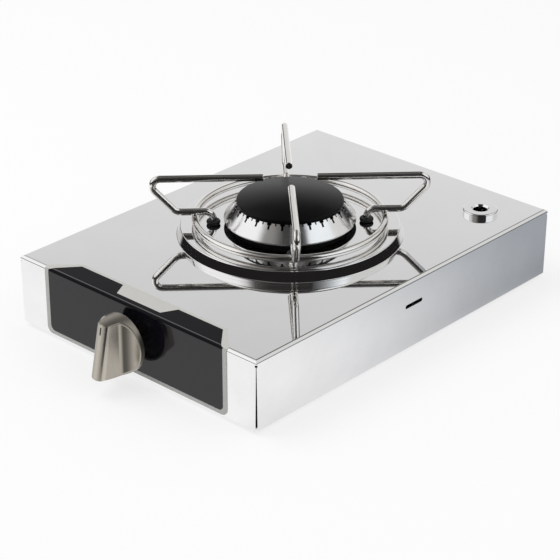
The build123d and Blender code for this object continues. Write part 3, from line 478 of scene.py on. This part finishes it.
def brushed_nickel(tree):
    """Satin nickel of the knob, brushed up and down, with painted shade in its hollows and painted
    highlights and shade in bands on the fin.
    """
    x, _, z = tree.parts(tree.place())
    across = abs(x)
    strokes = tree.streaks(2600.0, 1200.0, 60.0)
    clouds = tree.noise(scale=70.0)
    side = tree.length(x, z - knob_middle).past(KNOB_SIDE, KNOB_SIDE_BLEND)
    face = 1.0 - side
    nose = 1.0 - across.past(KNOB_CREASE, KNOB_CREASE_HALF)
    shoulder = nose * across.past(KNOB_SHOULDER, KNOB_SHOULDER_BLEND)
    crease = 1.0 - abs(across - KNOB_CREASE).past(KNOB_CREASE_HALF, KNOB_CREASE_HALF)
    outside = across.past(KNOB_HOLLOW, KNOB_HOLLOW_BLEND)
    hollow = across.past(KNOB_FOLD, KNOB_FOLD_BLEND) * (1.0 - outside)
    # Painted highlights on the nose and crease, painted shade on the shoulder
    painted_light_bands = nose * NOSE_PAINTED_HIGHLIGHT + shoulder * SHOULDER_PAINTED_SHADE + crease * CREASE_PAINTED_HIGHLIGHT
    brushing_and_painted_light = strokes.between(0.46, 0.76) + face * painted_light_bands
    nickel = tree.mix(brushing_and_painted_light, tint(0.17, 0.155, 0.133), tint(0.53, 0.49, 0.43))
    brushed = clouds.between(0.16, 0.22) + strokes.between(0.0, 0.05)
    return {
        # Painted shade in the hollows, as a dark nickel
        "Base Color": tree.mix(face * hollow * HOLLOW_SHADE, nickel, tint(0.04, 0.037, 0.032)),
        "Metallic": 1.0,
        "Roughness": brushed + side * SIDE_ROUGHNESS,
        "Normal": tree.bump(strokes, distance=0.03 * MM, strength=0.4),
    }


def pointer_paint(tree):
    """Black paint in the knob's pointer groove."""
    skin = tree.noise(scale=900.0)
    return {
        "Base Color": tree.mix(skin, grey(0.008), grey(0.02)),
        "Roughness": skin.between(0.35, 0.5),
    }


SLOT_FINISHES = {
    "polished_steel": mirror_sheet,
    "plain_steel": rolled_sheet,
    "screw_steel": turned_screw,
    "label_film": printed_label,
    "black_rubber": moulded_rubber,
    "wire_chrome": bright_wire,
    "cast_aluminium": cup_in_painted_shade,
    "crown_aluminium": turned_crown,
    "cap_enamel": satin_enamel,
    "brass": turned_brass,
    "probe_steel": probe_tip,
    "lead_copper": copper_lead,
    "pipe_aluminium": drawn_pipe,
    "knob_metal": brushed_nickel,
    "pointer_black": pointer_paint,
}


def dress_nodes():
    """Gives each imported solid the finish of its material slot."""
    finishes = {slot: finish(slot, build) for slot, build in SLOT_FINISHES.items()}
    for part in frame["record"]["subparts"]:
        mesh = frame["nodes"][part["node"]].data
        mesh.materials.clear()
        mesh.materials.append(finishes[part["material_slot"]])


def add_mesh(name, form, material):
    """An object with the form's mesh, in one material."""
    mesh = bpy.data.meshes.new(name)
    form.to_mesh(mesh)
    form.free()
    mesh.materials.append(material)
    piece = bpy.data.objects.new(name, mesh)
    bpy.context.scene.collection.objects.link(piece)
    return piece


ARC_STEPS = 10
ARC_MARGIN = 0.1


def rounded(points, radii):
    """A path through points, with each inner corner rounded off by an arc. A point beside each
    end of the arc keeps the straight stretches flat when they are shaded."""
    path = [Vector(points[0])]
    for before, corner, after, radius in zip(points, points[1:], points[2:], radii):
        corner = Vector(corner)
        back = (Vector(before) - corner).normalized()
        ahead = (Vector(after) - corner).normalized()
        half = back.angle(ahead) / 2
        centre = corner + (back + ahead).normalized() * (radius / math.sin(half))
        reach = radius / math.tan(half)
        first = corner + back * reach - centre
        last = corner + ahead * reach - centre
        path.append(corner + back * (reach + radius * ARC_MARGIN))
        for step in range(ARC_STEPS + 1):
            path.append(centre + first.slerp(last, step / ARC_STEPS) * radius)
        path.append(corner + ahead * (reach + radius * ARC_MARGIN))
    path.append(Vector(points[-1]))
    return path


LATHE_STEPS = 360
WELD = 1e-7


def lathe(name, section, body, material):
    """A closed section of radius and height, turned about the burner's axis."""
    form = bmesh.new()
    corners = [form.verts.new((point.x, 0, point.y)) for point in section]
    edges = [form.edges.new(pair) for pair in zip(corners, corners[1:] + corners[:1])]
    spin = {"cent": (0, 0, 0), "axis": (0, 0, 1), "angle": 2 * math.pi, "steps": LATHE_STEPS}
    bmesh.ops.spin(form, geom=corners + edges, use_merge=True, **spin)
    bmesh.ops.remove_doubles(form, verts=form.verts, dist=WELD)
    bmesh.ops.recalc_face_normals(form, faces=form.faces)
    piece = add_mesh(name, form, material)
    piece.data.shade_smooth()
    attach(piece, body)


RING_FOOT = 77.9 * MM
RING_TOP = 75.4 * MM
FOOT_FILLET = 0.5 * MM
RIM_FILLET = 0.8 * MM
RING_FLANGE = 4.0 * MM
RING_LAND = 4.0 * MM
SKIN = 0.03 * MM
SKIN_DEPTH = 0.3 * MM


def smooth_ring():
    """Finely turned face of the raised ring, over the stamped sheet. A point close to each end
    of the face keeps the ends flat when they are shaded."""
    plate = top_z + SKIN
    land = hob_high.z + SKIN
    outer = RING_FOOT + RING_FLANGE
    inner = RING_TOP - RING_LAND
    corners = (outer, plate), (RING_FOOT + SKIN, plate), (RING_TOP + SKIN, land), (inner, land)
    face = rounded(corners, (FOOT_FILLET, RIM_FILLET))
    near_outer = Vector((outer - SKIN, plate))
    near_inner = Vector((inner + SKIN, land))
    low = plate - SKIN_DEPTH
    high = land - SKIN_DEPTH
    back = (
        Vector((inner - SKIN_DEPTH, high)),
        Vector((RING_TOP - SKIN_DEPTH, high)),
        Vector((RING_FOOT - SKIN_DEPTH, low)),
        Vector((outer + SKIN_DEPTH, low)),
    )
    section = [face[0], near_outer, *face[1:-1], near_inner, face[-1], *back]
    steel = frame["nodes"]["hob_top"].data.materials[0]
    lathe("raised_ring_face", section, "hob", steel)


# The studio that the polished steel mirrors. Panels stand round the object, at degrees right of
# the camera. They rise from a dark horizon to a dark ceiling, which is paler straight overhead.
# Haze lifts their upper part a little. The backdrop behind the object fades as it rises. The
# edges and blends of horizon, haze, ceiling and overhead are sines of the elevation.
WHITE = grey(1.0)
PANEL = tint(0.93, 0.97, 1.0)
SOFT_PANEL = tint(0.72, 0.715, 0.7)
LEFT_REAR = tint(0.62, 0.615, 0.605)
DUSK = tint(0.24, 0.23, 0.22)
DARK = tint(0.016, 0.0152, 0.0145)
STUDIO_PANELS = (
    (-180, LEFT_REAR), (-145, LEFT_REAR), (-125, WHITE), (-66, WHITE), (-54, DUSK), (-38, DUSK),
    (-14, DARK), (34, DARK), (37, PANEL), (82, PANEL), (90, SOFT_PANEL), (150, SOFT_PANEL),
    (180, LEFT_REAR),
)
BACKDROP_FADE = (
    (0, 0.82), (23, 0.78), (29, 0.63), (32, 0.5), (36, 0.22), (40, 0.12), (52, 0.08), (90, 0.04),
)
BACKDROP_RIGHT = 147
BACKDROP_LEFT = 160
BACKDROP_BLEND = 12
HORIZON = tint(0.014, 0.013, 0.013)
HORIZON_HEIGHTS = ((0, 14), (50, 14), (74, 6.5), (97, 6.5), (107, 13), (180, 13))
HORIZON_BLEND = 0.05
CEILING = tint(0.03, 0.028, 0.027)
CEILING_EDGE = math.sin(math.radians(60.5))
CEILING_BLEND = 0.07
OVERHEAD = tint(0.2, 0.198, 0.195)
OVERHEAD_EDGE = math.sin(math.radians(75))
OVERHEAD_BLEND = 0.04
HAZE = 0.025
HAZE_EDGE = math.sin(math.radians(27))
HAZE_BLEND = 0.25
DIFFUSE_LEVEL = 0.68


def toward_camera(x, y):
    """How far a direction or a place lies to the camera's side."""
    return x * math.sin(CAMERA_AZIMUTH) - y * math.cos(CAMERA_AZIMUTH)


def light_world():
    """Soft plain light for matt surfaces, the studio for polished ones and white for the camera."""
    world = bpy.data.worlds.new("studio")
    bpy.context.scene.world = world
    tree = Tree(world)
    dx, dy, dz = tree.parts(tree.add("ShaderNodeTexCoord").outputs["Generated"])
    right = dx * math.cos(CAMERA_AZIMUTH) + dy * math.sin(CAMERA_AZIMUTH)
    turn = tree.maths("ARCTAN2", right, toward_camera(dx, dy)) * math.degrees(1)
    panels = [(angle / FULL_TURN + 0.5, colour) for angle, colour in STUDIO_PANELS]
    fade = [(math.sin(math.radians(angle)), grey(level)) for angle, level in BACKDROP_FADE]
    heights = [
        (angle / HALF_TURN, grey(math.sin(math.radians(height))))
        for angle, height in HORIZON_HEIGHTS
    ]
    ring = tree.ramp(turn / FULL_TURN + 0.5, panels)
    horizon = Reading(tree, tree.ramp(abs(turn) / HALF_TURN, heights))
    backdrop = tree.ramp(dz, fade)
    ring = tree.mix(dz.past(HAZE_EDGE, HAZE_BLEND) * HAZE, ring, WHITE)
    above = tree.mix(dz.past(OVERHEAD_EDGE, OVERHEAD_BLEND), CEILING, OVERHEAD)
    seen = tree.mix(dz.past(CEILING_EDGE, CEILING_BLEND), ring, above)
    seen = tree.mix(dz.past(horizon, HORIZON_BLEND), HORIZON, seen)
    behind_right = turn.past(BACKDROP_RIGHT, BACKDROP_BLEND)
    behind_left = (0.0 - turn).past(BACKDROP_LEFT, BACKDROP_BLEND)
    seen = tree.mix(behind_right.most(behind_left), seen, backdrop)
    path = tree.add("ShaderNodeLightPath").outputs
    colour = tree.mix(path["Is Glossy Ray"], grey(DIFFUSE_LEVEL), seen)
    shown = tree.maths("MAXIMUM", path["Is Camera Ray"], path["Is Transmission Ray"])
    colour = tree.mix(shown, colour, WHITE)
    back = tree.add("ShaderNodeBackground", {"Color": colour, "Strength": 1.0})
    tree.add("ShaderNodeOutputWorld", {"Surface": back.outputs[0]})


LAMP_AIM = Vector((0, 0, 0.05))


def add_lamp(name, place, size, watts):
    """A soft area lamp that lights the object but isn't itself mirrored in it."""
    data = bpy.data.lights.new(name, "AREA")
    data.size = size
    data.energy = watts
    lamp = bpy.data.objects.new(name, data)
    lamp.location = place
    lamp.rotation_euler = (LAMP_AIM - Vector(place)).to_track_quat("-Z", "Y").to_euler()
    lamp.visible_glossy = False
    bpy.context.scene.collection.objects.link(lamp)


# The worktop, in metres from the burner's axis. In polished steel it ends near the front of the
# hob and further off elsewhere, with a painted shadow behind the right-hand side, darkest close to
# it.
# TABLE_BACK and TABLE_SECTOR are cosines of the angle from the camera's direction.
FLOOR_RADIUS = 6.0
FLOOR_SEGMENTS = 96
FLOOR_TONE = 0.97
FLOOR_WHITENING = 0.7
TABLE_EDGE = 0.7
TABLE_BLEND = 0.3
TABLE_BACK = -0.84
TABLE_BACK_BLEND = 0.1
TABLE_FRONT = 0.3
TABLE_FRONT_BLEND = 0.08
TABLE_SECTOR = 0.78
TABLE_SECTOR_BLEND = 0.12
# Painted shadow on the worktop, seen in polished steel: a dim shade behind the right-hand side and
# a darker contact shadow close to it
SHADE = tint(0.36, 0.385, 0.42)
SHADE_X = 0.10
SHADE_X_BLEND = 0.04
SHADE_Y = 0.06
SHADE_Y_BLEND = 0.36
PAINTED_CONTACT_SHADOW = tint(0.15, 0.16, 0.18)
CONTACT_X = 0.135
CONTACT_BLEND = 0.05
CONTACT_FRONT = 0.2
CONTACT_REAR = 0.36


def worktop_glow(tree):
    """The colour of the worktop in polished steel, with its painted shadow, as a socket."""
    x, y, _ = tree.parts(tree.place())
    side = x.past(SHADE_X, SHADE_X_BLEND)
    rear = y.past(SHADE_Y, SHADE_Y_BLEND)
    close = side * (1.0 - x.past(CONTACT_X, CONTACT_BLEND))
    contact_shadow = close * (CONTACT_FRONT + rear * CONTACT_REAR)
    out = tree.length(x, y)
    ahead = toward_camera(x, y) / out
    far = out.past(TABLE_EDGE, TABLE_BLEND) * ahead.past(TABLE_BACK, TABLE_BACK_BLEND)
    sector = ahead.past(TABLE_SECTOR, TABLE_SECTOR_BLEND)
    far = far.most(out.past(TABLE_FRONT, TABLE_FRONT_BLEND) * sector)
    # Painted shadow of the object on the worktop, darkest beside the right-hand wall
    shaded = tree.mix(contact_shadow, tree.mix(side * rear, WHITE, SHADE), PAINTED_CONTACT_SHADOW)
    return tree.mix(far, shaded, HORIZON)


def lay_floor():
    """White worktop that keeps the soft shadow, with its own glow and a painted shadow in polished
    steel.
    """
    material = bpy.data.materials.new("worktop")
    tree = Tree(material)
    path = tree.add("ShaderNodeLightPath").outputs
    matt = tree.add("ShaderNodeBsdfDiffuse", {"Color": grey(FLOOR_TONE)}).outputs[0]
    plain = tree.add("ShaderNodeEmission", {"Color": WHITE, "Strength": 1.0}).outputs[0]
    glow = tree.add("ShaderNodeEmission", {"Color": worktop_glow(tree), "Strength": 1.0}).outputs[0]
    whitened = Reading(tree, path["Is Camera Ray"]) * FLOOR_WHITENING
    pale = tree.add("ShaderNodeMixShader", {0: whitened, 1: matt, 2: plain}).outputs[0]
    either = tree.add("ShaderNodeMixShader", {0: path["Is Glossy Ray"], 1: pale, 2: glow})
    tree.add("ShaderNodeOutputMaterial", {"Surface": either.outputs[0]})
    form = bmesh.new()
    bmesh.ops.create_circle(form, cap_ends=True, segments=FLOOR_SEGMENTS, radius=FLOOR_RADIUS)
    floor = add_mesh("worktop", form, material)


def set_camera():
    """The photograph's own view."""
    data = bpy.data.cameras.new("photograph")
    data.sensor_width = SENSOR
    data.lens = FOCAL_PIXELS / PICTURE * SENSOR
    data.clip_start = CAMERA_NEAREST
    camera = bpy.data.objects.new("photograph", data)
    back = Vector((
        math.sin(CAMERA_AZIMUTH) * math.cos(CAMERA_ELEVATION),
        -math.cos(CAMERA_AZIMUTH) * math.cos(CAMERA_ELEVATION),
        math.sin(CAMERA_ELEVATION),
    ))
    right = Vector((math.cos(CAMERA_AZIMUTH), math.sin(CAMERA_AZIMUTH), 0))
    up = back.cross(right)
    turn = Matrix((right, up, back)).transposed()
    camera.matrix_world = Matrix.Translation(CAMERA_PLACE) @ turn.to_4x4()
    bpy.context.scene.collection.objects.link(camera)
    bpy.context.scene.camera = camera


dress_nodes()
smooth_ring()
light_world()
add_lamp("key", place=(-0.7, -0.5, 1.5), size=1.1, watts=9.0)
add_lamp("fill", place=(1.2, 0.3, 1.2), size=1.0, watts=2.5)
lay_floor()
set_camera()
bpy.context.scene.view_settings.view_transform = "Standard"
